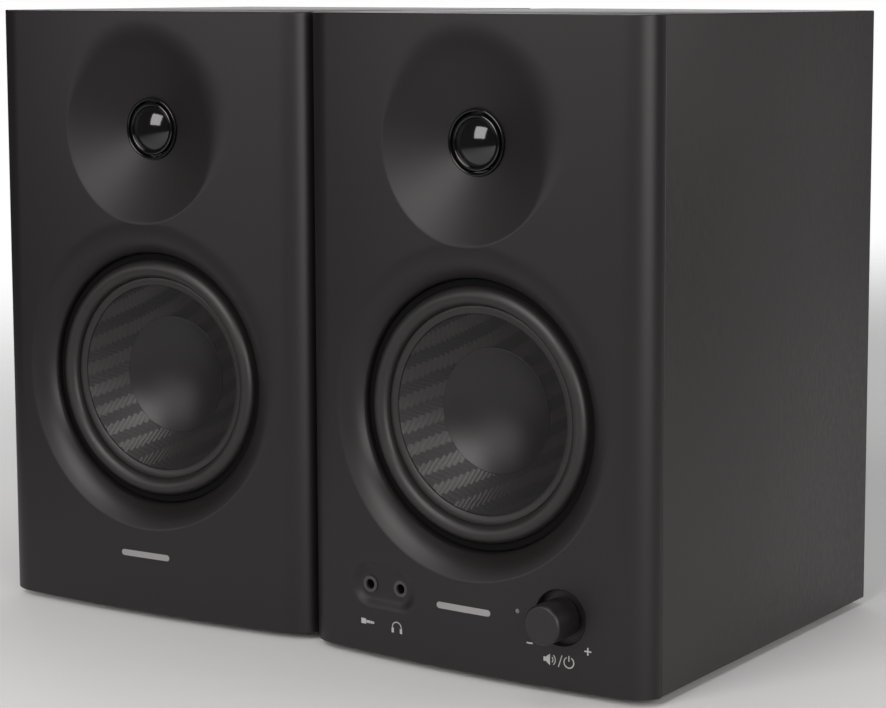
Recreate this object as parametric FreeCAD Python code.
import FreeCAD, Part
import math
import os

# A pair of compact two-way powered desktop monitors: an active speaker with
# the controls, jacks and amplifier, and a passive speaker that it drives.
# Millimetres. +Z up, the fronts face -Y, +X runs from passive to active.
# The row origin is the centre of the pair's footprint, on the table.

V = FreeCAD.Vector

# ---------------------------------------------------------------- driving sizes
W = 142.0              # cabinet width
CAB_H = 225.0          # cabinet height without feet
FOOT_H = 2.5           # feet under the cabinet
D = 167.5              # baffle crown to the cabinet's rear edge
WALL = 9.0             # cabinet board thickness
SEAM_Y = 11.6          # rear edge of the baffle's rim
CAB_Y = 12.2           # front edge of the cabinet shell
SEAM_IN = 1.4          # depth of the shadow groove between baffle and cabinet
CROWN = 4.06           # how far the baffle falls back from its centre line
ROUND_X = 11.0         # width of the rounded upright edges
BOARD_Y0 = 157.0       # rear board, inner face
BOARD_Y1 = 166.0       # rear board, outer face

WOOF_Z = 90.6          # woofer axis height
WOOF_HOLE_R = 47.4
WOOF_BOWL_R = 56.1
WOOF_BOWL_Y = 7.2      # depth of the woofer bowl's inner edge
TWEET_Z = 184.1        # tweeter axis height
TWEET_HOLE_R = 11.5
TWEET_BOWL_R = 34.8
TWEET_BOWL_Y = 7.9

CTRL_Z = 27.05         # height of the jacks, the lamp and the volume knob
AUX_X = -42.0
PHONES_X = -28.8
LED_X = 21.3
KNOB_X = 38.0
KNOB_R = 6.9
KNOB_FACE_Y = -10.6
KNOB_BASE_Y = 2.6
KNOB_RECESS_R = 9.55
KNOB_RECESS_Y = 4.2
JACK_RECESS_R = 7.2
JACK_RECESS_Y = 2.6
JACK_BORE_R = 1.8
JACK_NOSE_R = 2.95

PORT_Z = 188.0
PORT_R_IN = 18.0
PORT_R_OUT = 20.5
PORT_FLANGE_R = 26.0

PLATE_W = 104.0        # amplifier plate
PLATE_Z0 = 24.0
PLATE_Z1 = 144.0
PCB_Y = 138.0          # amplifier board, front face
TRS_X = 18.0
TRS_Z = 104.0
TRS_BORE_R = 3.2
RCA_X = 12.0
RCA_Z = 80.0
RCA_R = 4.15
TONE_X = 18.0
TONE_Z = 128.0
INLET_X = -28.0
INLET_Z = 45.0
TERM_X = 24.0
TERM_Z = 48.0
WIRE_RECESS = 6.7       # depth of the recess that the wire holes start from
CUP_Z = 66.0           # terminal height on the passive speaker

PASSIVE_TURN = 3.88    # the passive speaker is toed in by this angle
PASSIVE_DX = -143.06   # its front left corner from the active one's
PASSIVE_DY = -7.57
ROW_DX = 77.197        # row origin, from the active speaker's centre line
ROW_DY = -83.95        # and from its baffle crown


# ---------------------------------------------------------------- helpers
def wire_of(pts):
    """Closed wire from points; an entry (mid, end) is an arc from the last point."""
    edges = []
    last = pts[0]
    for p in pts[1:] + [pts[0]]:
        if isinstance(p[0], tuple):
            mid, end = p
            edges.append(Part.Arc(V(*last3(last)), V(*last3(mid)), V(*last3(end))).toShape())
            last = end
        else:
            if abs(p[0] - last[0]) > 1e-9 or abs(p[1] - last[1]) > 1e-9:
                edges.append(Part.LineSegment(V(*last3(last)), V(*last3(p))).toShape())
            last = p
    return Part.Wire(edges)


def last3(p):
    return (p[0], p[1], 0.0)


def rev(pts, x=0.0, z=0.0):
    """Solid of revolution about a line along Y through (x, z); points are (radius, y)."""
    s = Part.Face(wire_of(pts)).revolve(V(0, 0, 0), V(0, 1, 0), 360)
    s.translate(V(x, 0, z))
    if s.ShapeType != "Solid":
        s = Part.Solid(s.Shells[0])
    return s


def cyl(r, y0, y1, x=0.0, z=0.0):
    return Part.makeCylinder(r, y1 - y0, V(x, y0, z), V(0, 1, 0))


def cylx(r, x0, x1, y, z):
    return Part.makeCylinder(r, x1 - x0, V(x0, y, z), V(1, 0, 0))


def ring(r0, r1, y0, y1, x=0.0, z=0.0):
    return cyl(r1, y0, y1, x, z).cut(cyl(r0, y0 - 1, y1 + 1, x, z))


def box(x0, x1, y0, y1, z0, z1):
    return Part.makeBox(x1 - x0, y1 - y0, z1 - z0, V(x0, y0, z0))


def obround(r, half, y0, y1, x, z):
    """Stadium prism along Y: two circles of radius r, their centres 2*half apart in X."""
    s = cyl(r, y0, y1, x - half, z).fuse([cyl(r, y0, y1, x + half, z), box(x - half, x + half, y0, y1, z - r, z + r)])
    return s.removeSplitter()


def around(r, n, start):
    return [(r * math.cos(math.radians(start + i * 360.0 / n)), r * math.sin(math.radians(start + i * 360.0 / n))) for i in range(n)]


def group(shapes):
    return Part.makeCompound(shapes)


def crown_y(x):
    return CROWN * (x / (W / 2.0)) ** 2


# ---------------------------------------------------------------- enclosure
def baffle(active):
    h = W / 2.0
    xs = h - ROUND_X
    left = []
    n = 8
    for i in range(n + 1):
        a = math.radians(90.0 * i / n)
        left.append(V(-xs - ROUND_X * math.cos(a), SEAM_Y - 0.3 - (SEAM_Y - 0.3 - crown_y(xs)) * math.sin(a), 0))
    c = Part.BSplineCurve()
    c.interpolate(left)
    right = [V(-p.x, p.y, 0) for p in reversed(left)]
    c2 = Part.BSplineCurve()
    c2.interpolate(right)
    mid = Part.Arc(left[-1], V(0, 0, 0), right[0]).toShape()
    e = [c.toShape(), mid, c2.toShape(),
         Part.LineSegment(right[-1], V(h, SEAM_Y, 0)).toShape(),
         Part.LineSegment(V(h, SEAM_Y, 0), V(-h, SEAM_Y, 0)).toShape(),
         Part.LineSegment(V(-h, SEAM_Y, 0), left[0]).toShape()]
    s = Part.Face(Part.Wire(e)).extrude(V(0, 0, CAB_H))
    s.translate(V(0, 0, FOOT_H))
    s = s.fuse(box(-h + SEAM_IN, h - SEAM_IN, SEAM_Y - 1.0, CAB_Y, FOOT_H + SEAM_IN, FOOT_H + CAB_H - SEAM_IN))
    # woofer bowl and hole
    k = (WOOF_BOWL_R - WOOF_HOLE_R) / (WOOF_BOWL_Y - 1.1)
    s = s.cut(rev([(0, -2), (WOOF_HOLE_R + k * (WOOF_BOWL_Y + 2), -2), (WOOF_HOLE_R, WOOF_BOWL_Y), (WOOF_HOLE_R, 14), (0, 14)], 0, WOOF_Z))
    # tweeter bowl and hole
    k = (TWEET_BOWL_R - TWEET_HOLE_R) / (TWEET_BOWL_Y - 0.35)
    s = s.cut(rev([(0, -1), (TWEET_HOLE_R + k * (TWEET_BOWL_Y + 1), -1), (TWEET_HOLE_R, TWEET_BOWL_Y), (TWEET_HOLE_R, 14), (0, 14)], 0, TWEET_Z))
    # blind pilot holes for the driver screws
    for dx, dz in around(51.5, 4, 45):
        s = s.cut(cyl(1.3, 8.4, 13, dx, WOOF_Z + dz))
    for dx, dz in around(20.0, 3, 90):
        s = s.cut(cyl(1.3, 8.6, 13, dx, TWEET_Z + dz))
    if active:
        s = s.cut(cyl(KNOB_RECESS_R, -2, KNOB_RECESS_Y, KNOB_X, CTRL_Z))
        s = s.cut(cyl(3.6, 3, 14, KNOB_X, CTRL_Z))
        s = s.cut(obround(JACK_RECESS_R, (PHONES_X - AUX_X) / 2.0, -2, JACK_RECESS_Y, (PHONES_X + AUX_X) / 2.0, CTRL_Z))
        for x in (AUX_X, PHONES_X):
            s = s.cut(cyl(JACK_NOSE_R + 0.05, 2, 14, x, CTRL_Z))
        s = s.cut(cyl(0.9, -2, 14, LED_X, CTRL_Z))
    return s.removeSplitter()


def cabinet_shell():
    h = W / 2.0
    outer = box(-h, h, CAB_Y, D, FOOT_H, FOOT_H + CAB_H)
    inner = box(-h + WALL, h - WALL, CAB_Y - 1, D + 1, FOOT_H + WALL, FOOT_H + CAB_H - WALL)
    return outer.cut(inner)


def rear_board(active):
    h = W / 2.0 - WALL
    s = box(-h, h, BOARD_Y0, BOARD_Y1, FOOT_H + WALL, FOOT_H + CAB_H - WALL)
    s = s.cut(cyl(PORT_R_OUT, BOARD_Y0 - 1, BOARD_Y1 + 1, 0, PORT_Z))
    if active:
        s = s.cut(box(-44, 44, BOARD_Y0 - 1, BOARD_Y1 + 1, PLATE_Z0 + 8, PLATE_Z1 - 8))
        for x, z in plate_screw_xz():
            s = s.cut(cyl(1.3, BOARD_Y0 + 1.5, BOARD_Y1 + 1, x, z))
    else:
        s = s.cut(box(-24, 24, BOARD_Y0 - 1, BOARD_Y1 + 1, CUP_Z - 17, CUP_Z + 17))
        for x, z in cup_screw_xz():
            s = s.cut(cyl(1.3, BOARD_Y0 + 1.5, BOARD_Y1 + 1, x, z))
    return s


def plate_screw_xz():
    x = PLATE_W / 2.0 - 4.0
    zm = (PLATE_Z0 + PLATE_Z1) / 2.0
    return [(sx * x, z) for sx in (-1, 1) for z in (PLATE_Z0 + 4.0, zm, PLATE_Z1 - 4.0)]


def cup_screw_xz():
    return [(sx * 29.0, CUP_Z + sz * 20.0) for sx in (-1, 1) for sz in (-1, 1)]


def port_tube():
    a = 3.0
    return rev([(PORT_R_IN, 92), (PORT_R_OUT, 92), (PORT_R_OUT, BOARD_Y1), (PORT_FLANGE_R, BOARD_Y1),
                (PORT_FLANGE_R, BOARD_Y1 + 1.2), (PORT_R_IN + a + 1.2, BOARD_Y1 + 2.2),
                ((PORT_R_IN + 0.29 * a + 0.35, BOARD_Y1 + 2.2 - 0.75 * a), (PORT_R_IN, BOARD_Y1 - 4.0))], 0, PORT_Z)


def feet():
    out = []
    for x in (-W / 2 + 15, W / 2 - 15):
        for y in (30.0, D - 16.0):
            f = Part.makeCylinder(6.5, FOOT_H, V(x, y, 0), V(0, 0, 1))
            e = [k for k in f.Edges if abs(k.CenterOfMass.z) < 1e-6]
            out.append(f.makeChamfer(0.5, e))
    return group(out)


# ---------------------------------------------------------------- tweeter
def tweeter_faceplate():
    s = rev([(10.3, 6.9), (11.0, 6.9), (11.4, 7.3), (11.4, CAB_Y), (24.0, CAB_Y), (24.0, 14.4), (10.3, 14.4)], 0, TWEET_Z)
    for dx, dz in around(20.0, 3, 90):
        s = s.cut(cyl(1.4, CAB_Y - 1, 16, dx, TWEET_Z + dz))
    return s


def tweeter_dome():
    return rev([(0, 3.2), (0.6, 3.2), ((5.1, 4.35), (9.3, 7.8)), (9.9, 7.8), (9.9, 8.3), (9.3, 8.3), (9.3, 16.0), (9.0, 16.0),
                (9.0, 8.2), ((4.95, 4.75), (0.6, 3.6)), (0, 3.6)], 0, TWEET_Z)


def tweeter_motor():
    top = ring(9.8, 21.0, 14.4, 17.4, 0, TWEET_Z)
    for dx, dz in around(20.0, 3, 90):
        top = top.cut(cyl(3.3, 14, 18, dx, TWEET_Z + dz))
    magnet = ring(11.5, 16.5, 17.4, 25.4, 0, TWEET_Z)
    yoke = rev([(0, 11.5), (8.6, 11.5), (8.6, 25.4), (16.5, 25.4), (16.5, 28.4), (0, 28.4)], 0, TWEET_Z)
    return group([top, magnet, yoke])


# ---------------------------------------------------------------- woofer
def woofer_basket():
    s = rev([(44.6, 9.9), (46.7, 9.9), (46.7, CAB_Y), (55.5, CAB_Y), (55.5, 14.2), (47.6, 14.2), (38.0, 34.0), (38.0, 38.0),
             (18.0, 38.0), (18.0, 36.4), (30.5, 36.4), (30.5, 31.5), (35.2, 31.5), (44.6, 14.8)], 0, WOOF_Z)
    for i in range(6):
        b = box(-11, 11, 17.0, 28.5, 30, 60)
        b.rotate(V(0, 0, 0), V(0, 1, 0), 30 + 60 * i)
        b.translate(V(0, 0, WOOF_Z))
        s = s.cut(b)
    for dx, dz in around(51.5, 4, 45):
        s = s.cut(cyl(1.4, CAB_Y - 1, 16, dx, WOOF_Z + dz))
    return s


def woofer_surround():
    a, b = 2.95, 2.4
    rc = 41.0
    yb = 9.8
    q = math.sqrt(0.5)
    return rev([(46.5, yb), (46.5, yb - 0.55), (rc + a, yb - 0.55),
                ((rc, yb - 0.55 - a + 0.05), (rc - a, yb - 0.55)), (36.4, yb - 0.55), (36.4, yb), (rc - b, yb),
                ((rc, yb - b), (rc + b, yb))], 0, WOOF_Z)


def woofer_cone():
    return rev([(38.0, 9.95), (38.0, 10.7), (35.3, 10.9), (22.1, 20.3), (12.95, 26.9), (12.95, 25.7), (22.1, 19.2), (35.3, 9.95)], 0, WOOF_Z)


def woofer_dust_cap():
    return rev([(0, 23.5), (0, 24.2), (1.0, 24.2), ((11.3, 22.9), (21.9, 19.18)), (21.9, 18.5), ((11.3, 22.25), (1.0, 23.5))], 0, WOOF_Z)


def woofer_voice_coil():
    return rev([(12.55, 25.7), (12.95, 25.7), (12.95, 36.5), (13.6, 36.5), (13.6, 44.5), (12.95, 44.5), (12.95, 46.0), (12.55, 46.0)], 0, WOOF_Z)


def woofer_spider():
    t = 0.45
    rs = [13.4, 15.5]
    ys = [31.0, 31.0]
    r = 15.5
    up = True
    while r < 30.0:
        r += 1.8
        rs.append(r)
        ys.append(30.3 if up else 31.0)
        up = not up
    rs += [31.0, 35.0]
    ys += [31.05, 31.05]
    pts = [(a, b) for a, b in zip(rs, ys)] + [(a, b + t) for a, b in reversed(list(zip(rs, ys)))]
    return rev(pts, 0, WOOF_Z)


def woofer_magnet():
    return ring(18.0, 40.0, 42.0, 58.0, 0, WOOF_Z)


def woofer_pole_plates():
    top = ring(14.1, 36.0, 38.0, 42.0, 0, WOOF_Z)
    yoke = rev([(0, 31.8), (12.0, 31.8), (12.0, 58.0), (36.0, 58.0), (36.0, 62.0), (0, 62.0)], 0, WOOF_Z)
    return group([top, yoke])


def driver_screws():
    out = []
    for dx, dz in around(51.5, 4, 45):
        out.append(cyl(3.0, 14.2, 16.2, dx, WOOF_Z + dz).fuse(cyl(1.25, 8.7, 14.2, dx, WOOF_Z + dz)))
    for dx, dz in around(20.0, 3, 90):
        out.append(cyl(2.6, 14.4, 16.2, dx, TWEET_Z + dz).fuse(cyl(1.25, 8.9, 14.4, dx, TWEET_Z + dz)))
    return group(out)


# ---------------------------------------------------------------- front controls
def volume_knob():
    s = rev([(3.05, KNOB_FACE_Y + 2.0), (0, KNOB_FACE_Y + 2.0), (0, KNOB_FACE_Y), (KNOB_R - 0.7, KNOB_FACE_Y), (KNOB_R, KNOB_FACE_Y + 0.7),
             (KNOB_R, KNOB_BASE_Y), (3.05, KNOB_BASE_Y)], KNOB_X, CTRL_Z)
    return s


def volume_shaft():
    return cyl(3.0, KNOB_FACE_Y + 2.1, 16.4, KNOB_X, CTRL_Z).fuse(cyl(3.7, 14.0, 15.0, KNOB_X, CTRL_Z))


def volume_plunger():
    return ring(1.5, 3.9, 16.45, 17.6, KNOB_X, CTRL_Z)


def volume_encoder():
    s = box(KNOB_X - 6.2, KNOB_X + 6.2, CAB_Y, 20.0, CTRL_Z - 6.2, CTRL_Z + 6.2).fuse(cyl(3.5, 5.0, CAB_Y, KNOB_X, CTRL_Z))
    s = s.cut(cyl(3.05, 4, 14.5, KNOB_X, CTRL_Z))
    return s.cut(cyl(4.1, 13.4, 18.8, KNOB_X, CTRL_Z))


def jack(x):
    s = box(x - 4.6, x + 4.6, CAB_Y, 20.0, CTRL_Z - 4.5, CTRL_Z + 4.5).fuse(cyl(JACK_NOSE_R, JACK_RECESS_Y - 0.5, CAB_Y, x, CTRL_Z))
    return s.cut(cyl(JACK_BORE_R, 0, 17.0, x, CTRL_Z))


def power_led():
    return cyl(0.8, crown_y(LED_X) + 0.15, 17.0, LED_X, CTRL_Z).fuse(box(LED_X - 1.6, LED_X + 1.6, 17.0, 20.0, CTRL_Z - 1.6, CTRL_Z + 1.6))


def control_board():
    return box(-50, 50, 20.0, 21.6, 13.5, 34.3)


# ---------------------------------------------------------------- amplifier and rear panel
def amp_plate():
    s = box(-PLATE_W / 2, PLATE_W / 2, BOARD_Y1, BOARD_Y1 + 1.5, PLATE_Z0, PLATE_Z1)
    for sx in (-1, 1):
        s = s.cut(cyl(5.2, 160, 170, sx * TRS_X, TRS_Z))
        s = s.cut(cyl(4.3, 160, 170, sx * RCA_X, RCA_Z))
        s = s.cut(cyl(3.7, 160, 170, sx * TONE_X, TONE_Z))
    s = s.cut(box(INLET_X - 13.2, INLET_X + 13.2, 160, 170, INLET_Z - 9.2, INLET_Z + 9.2))
    s = s.cut(box(TERM_X - 20.2, TERM_X + 20.2, 160, 170, TERM_Z - 13.2, TERM_Z + 13.2))
    for x, z in plate_screw_xz():
        s = s.cut(cyl(1.6, 160, 170, x, z))
    return s


def screws_at(xz, y_face):
    out = []
    for x, z in xz:
        head = rev([(0, y_face + 1.5), (0, y_face), (3.0, y_face), ((2.5, y_face + 1.0), (1.1, y_face + 1.5))], x, z)
        shank = cyl(1.25, BOARD_Y0 + 2.5, y_face, x, z)
        s = head.fuse(shank)
        s = s.cut(box(x - 2.0, x + 2.0, y_face + 0.8, y_face + 2, z - 0.35, z + 0.35)).cut(box(x - 0.35, x + 0.35, y_face + 0.8, y_face + 2, z - 2.0, z + 2.0))
        out.append(s)
    return group(out)


def trs_sockets():
    out = []
    for sx in (-1, 1):
        x = sx * TRS_X
        s = box(x - 7.5, x + 7.5, PCB_Y + 1.6, BOARD_Y1, TRS_Z - 8, TRS_Z + 8)
        s = s.fuse(cyl(5.0, BOARD_Y1, BOARD_Y1 + 4.0, x, TRS_Z))
        nut = Part.Face(Part.makePolygon([V(x + 7.2 * math.cos(math.radians(60 * i)), BOARD_Y1 + 1.5, TRS_Z + 7.2 * math.sin(math.radians(60 * i))) for i in range(7)])).extrude(V(0, 1.8, 0))
        s = s.fuse(nut).cut(cyl(TRS_BORE_R, 142.0, 175, x, TRS_Z))
        out.append(s.removeSplitter())
    return group(out)


def rca_sockets():
    out = []
    for sx in (-1, 1):
        x = sx * RCA_X
        s = box(x - 5.5, x + 5.5, PCB_Y + 1.6, BOARD_Y1, RCA_Z - 7, RCA_Z + 7)
        s = s.fuse([cyl(4.15, BOARD_Y1, BOARD_Y1 + 11.0, x, RCA_Z), cyl(6.0, BOARD_Y1 + 1.5, BOARD_Y1 + 2.7, x, RCA_Z)])
        s = s.cut(cyl(1.65, BOARD_Y1 - 6, BOARD_Y1 + 12, x, RCA_Z))
        out.append(s)
    return group(out)


def tone_pots():
    out = []
    for sx in (-1, 1):
        x = sx * TONE_X
        s = box(x - 5, x + 5, BOARD_Y1 - 9, BOARD_Y1, TONE_Z - 5, TONE_Z + 5).fuse(cyl(3.55, BOARD_Y1, BOARD_Y1 + 2.5, x, TONE_Z))
        s = s.cut(cyl(2.55, BOARD_Y1 - 6.5, BOARD_Y1 + 4, x, TONE_Z))
        out.append(s)
    legs = [box(sx * TONE_X - 4, sx * TONE_X + 4, PCB_Y + 1.6, BOARD_Y1 - 9, TONE_Z - 0.6, TONE_Z + 0.6) for sx in (-1, 1)]
    return group([a.fuse(b) for a, b in zip(out, legs)])


def tone_knob(x):
    y0 = BOARD_Y1 + 3.0
    s = rev([(0, y0 + 9.5), (5.3, y0 + 9.5), (5.9, y0 + 8.9), (6.3, y0 + 1.0), (6.3, y0), (4.2, y0), (4.2, y0 + 0.4), (2.5, y0 + 0.4),
             (2.5, BOARD_Y1 - 6.0), (0, BOARD_Y1 - 6.0)], x, TONE_Z)
    return s.cut(box(x - 0.45, x + 0.45, y0 + 8.8, y0 + 10, TONE_Z + 0.5, TONE_Z + 7))


def mains_inlet():
    x, z = INLET_X, INLET_Z
    y0 = 150.0
    s = box(x - 13, x + 13, y0, BOARD_Y1 + 1.5, z - 9, z + 9).fuse(box(x - 15.5, x + 15.5, BOARD_Y1 + 1.5, BOARD_Y1 + 3.0, z - 11.5, z + 11.5))
    s = s.cut(obround(4.5, 4.0, y0 + 4, 175, x, z))
    for sx in (-1, 1):
        s = s.fuse(cyl(1.15, y0 + 2, BOARD_Y1 - 1.0, x + sx * 4.3, z))
    tails = [box(x + sx * 4.3 - 1, x + sx * 4.3 + 1, PCB_Y + 1.6, y0, z - 0.4, z + 0.4) for sx in (-1, 1)]
    return s.fuse(tails)


def terminal_block(x, z, y0, y1):
    """Body of the two-way spring terminal, its face at y1."""
    s = box(x - 20, x + 20, y0, y1, z - 13, z + 13)
    # the wire holes start from a common recess under the levers
    s = s.cut(box(x - 18.5, x + 18.5, y1 - WIRE_RECESS, y1 + 1, z - 11.8, z - 1.0))
    for sx in (-1, 1):
        lx = x + sx * 9.5
        s = s.cut(box(lx - 6.4, lx + 6.4, y1 - 6.0, y1 + 1, z - 1.5, z + 10.8))
        s = s.cut(cylx(1.26, lx - 8.0, lx + 8.0, y1 - 3.0, z + 7.0))
        s = s.cut(cyl(1.6, y1 - WIRE_RECESS - 9.0, y1 + 1, lx, z - 6.0))
    return s


def lever(x, z, y1, sx):
    lx = x + sx * 9.5
    s = cylx(1.2, lx - 7.8, lx + 7.8, y1 - 3.0, z + 7.0)
    s = s.fuse(cylx(2.2, lx - 6.0, lx + 6.0, y1 - 3.0, z + 7.0))
    pr = [V(lx - 6, y1 - 3.0, z + 9.2), V(lx - 6, y1 + 7.0, z + 9.2), V(lx - 6, y1 + 8.0, z + 8.4), V(lx - 6, y1 + 8.0, z + 6.4), V(lx - 6, y1 - 3.0, z + 4.8), V(lx - 6, y1 - 3.0, z + 9.2)]
    s = s.fuse(Part.Face(Part.makePolygon(pr)).extrude(V(12, 0, 0)))
    for k in range(3):
        s = s.cut(box(lx - 7, lx + 7, y1 + 2.4 + 1.8 * k, y1 + 3.1 + 1.8 * k, z + 8.8, z + 10))
    return s.removeSplitter()


def amp_board():
    s = [box(-43, 43, PCB_Y, PCB_Y + 1.6, 34, 134)]
    for x, z, r, h in ((-28, 70, 8, 22), (-28, 90, 8, 22), (26, 72, 5, 14), (26, 86, 5, 14)):
        s.append(cyl(r, PCB_Y - h, PCB_Y, x, z))
    s.append(box(-8, 12, PCB_Y - 3, PCB_Y, 98, 118))
    return group(s)


def amp_heatsink():
    s = box(-14, 18, PCB_Y - 7, PCB_Y - 3, 94, 122)
    fins = [box(-14 + 5 * i, -12.2 + 5 * i, PCB_Y - 22, PCB_Y - 7, 94, 122) for i in range(7)]
    return s.fuse(fins).removeSplitter()


def transformer():
    z0 = FOOT_H + WALL
    core = box(-26, 26, 100, 126, z0 + 1.5, z0 + 43.5)
    core = core.cut(box(-17, -9, 90, 130, z0 + 10, z0 + 35)).cut(box(9, 17, 90, 130, z0 + 10, z0 + 35))
    coil = box(-17, 17, 92, 134, z0 + 10, z0 + 35).cut(box(-9, 9, 100, 126, z0 + 9, z0 + 36))
    strap = box(-34, 34, 104, 122, z0, z0 + 1.5)
    return group([core, coil, strap])


def terminal_cup():
    y1 = BOARD_Y1 + 4.5
    s = terminal_block(0, CUP_Z, 152.0, y1)
    s = s.fuse(box(-34, 34, BOARD_Y1, BOARD_Y1 + 2.0, CUP_Z - 25, CUP_Z + 25).cut(box(-20, 20, 160, 175, CUP_Z - 13, CUP_Z + 13)))
    for x, z in cup_screw_xz():
        s = s.cut(cyl(1.6, 160, 170, x, z))
    heads = screws_at(cup_screw_xz(), BOARD_Y1 + 2.0)
    return group([s.removeSplitter()] + heads.Solids)


def crossover_board():
    y = 152.0
    s = [box(-30, 30, y - 1.6, y, CUP_Z - 22, CUP_Z + 22)]
    s.append(cyl(6, y - 21.6, y - 1.6, -18, CUP_Z + 8))
    s.append(ring(4, 9, y - 11.6, y - 1.6, 14, CUP_Z))
    s.append(box(-24, -10, y - 7.6, y - 1.6, CUP_Z - 16, CUP_Z - 9))
    return group(s)


# ---------------------------------------------------------------- the pair
def common(pre, active):
    return {
        pre + "cabinet_shell": cabinet_shell(),
        pre + "front_baffle": baffle(active),
        pre + "rear_board": rear_board(active),
        pre + "port_tube": port_tube(),
        pre + "feet": feet(),
        pre + "driver_screws": driver_screws(),
        pre + "tweeter_faceplate": tweeter_faceplate(),
        pre + "tweeter_dome": tweeter_dome(),
        pre + "tweeter_motor": tweeter_motor(),
        pre + "woofer_basket": woofer_basket(),
        pre + "woofer_surround": woofer_surround(),
        pre + "woofer_cone": woofer_cone(),
        pre + "woofer_dust_cap": woofer_dust_cap(),
        pre + "woofer_voice_coil": woofer_voice_coil(),
        pre + "woofer_spider": woofer_spider(),
        pre + "woofer_magnet": woofer_magnet(),
        pre + "woofer_pole_plates": woofer_pole_plates(),
    }


a = common("active_", True)
ty1 = BOARD_Y1 + 4.5
a.update({
    "volume_knob": volume_knob(),
    "volume_shaft": volume_shaft(),
    "volume_plunger": volume_plunger(),
    "volume_encoder": volume_encoder(),
    "aux_jack": jack(AUX_X),
    "headphone_jack": jack(PHONES_X),
    "power_led": power_led(),
    "control_board": control_board(),
    "amp_plate": amp_plate(),
    "amp_plate_screws": screws_at(plate_screw_xz(), BOARD_Y1 + 1.5),
    "amp_board": amp_board(),
    "amp_heatsink": amp_heatsink(),
    "transformer": transformer(),
    "mains_inlet": mains_inlet(),
    "trs_sockets": trs_sockets(),
    "rca_sockets": rca_sockets(),
    "tone_pots": tone_pots(),
    "treble_knob": tone_knob(-TONE_X),
    "bass_knob": tone_knob(TONE_X),
    "active_terminal_block": terminal_block(TERM_X, TERM_Z, PCB_Y + 1.6, ty1),
    "active_lever_red": lever(TERM_X, TERM_Z, ty1, 1),
    "active_lever_black": lever(TERM_X, TERM_Z, ty1, -1),
})
p = common("passive_", False)
p.update({
    "passive_terminal_cup": terminal_cup(),
    "passive_crossover_board": crossover_board(),
    "passive_lever_red": lever(0, CUP_Z, ty1, 1),
    "passive_lever_black": lever(0, CUP_Z, ty1, -1),
})

os.makedirs("parts", exist_ok=True)
allp = {}
for n, s in a.items():
    s = s.copy()
    s.translate(V(ROW_DX, ROW_DY, 0))
    allp[n] = s
for n, s in p.items():
    s = s.copy()
    # the passive speaker's own front left corner is the pivot of its toe-in
    s.translate(V(W / 2.0, 0, 0))
    s.rotate(V(0, 0, 0), V(0, 0, 1), PASSIVE_TURN)
    s.translate(V(PASSIVE_DX - W / 2.0 + ROW_DX, PASSIVE_DY + ROW_DY, 0))
    allp[n] = s

bb = FreeCAD.BoundBox()
for n, s in allp.items():
    if not s.isValid():
        print("INVALID", n)
    if any(q.Volume <= 0 for q in s.Solids) or not s.Solids:
        print("BAD VOLUME", n)
    bb.add(s.optimalBoundingBox(False, False))
    s.exportStep("parts/%s.step" % n)
print("nodes", len(allp), "solids", sum(len(s.Solids) for s in allp.values()))
print("box x %.3f %.3f y %.3f %.3f z %.3f %.3f" % (bb.XMin, bb.XMax, bb.YMin, bb.YMax, bb.ZMin, bb.ZMax))
print("centre off x %.3f y %.3f" % ((bb.XMin + bb.XMax) / 2, (bb.YMin + bb.YMax) / 2))
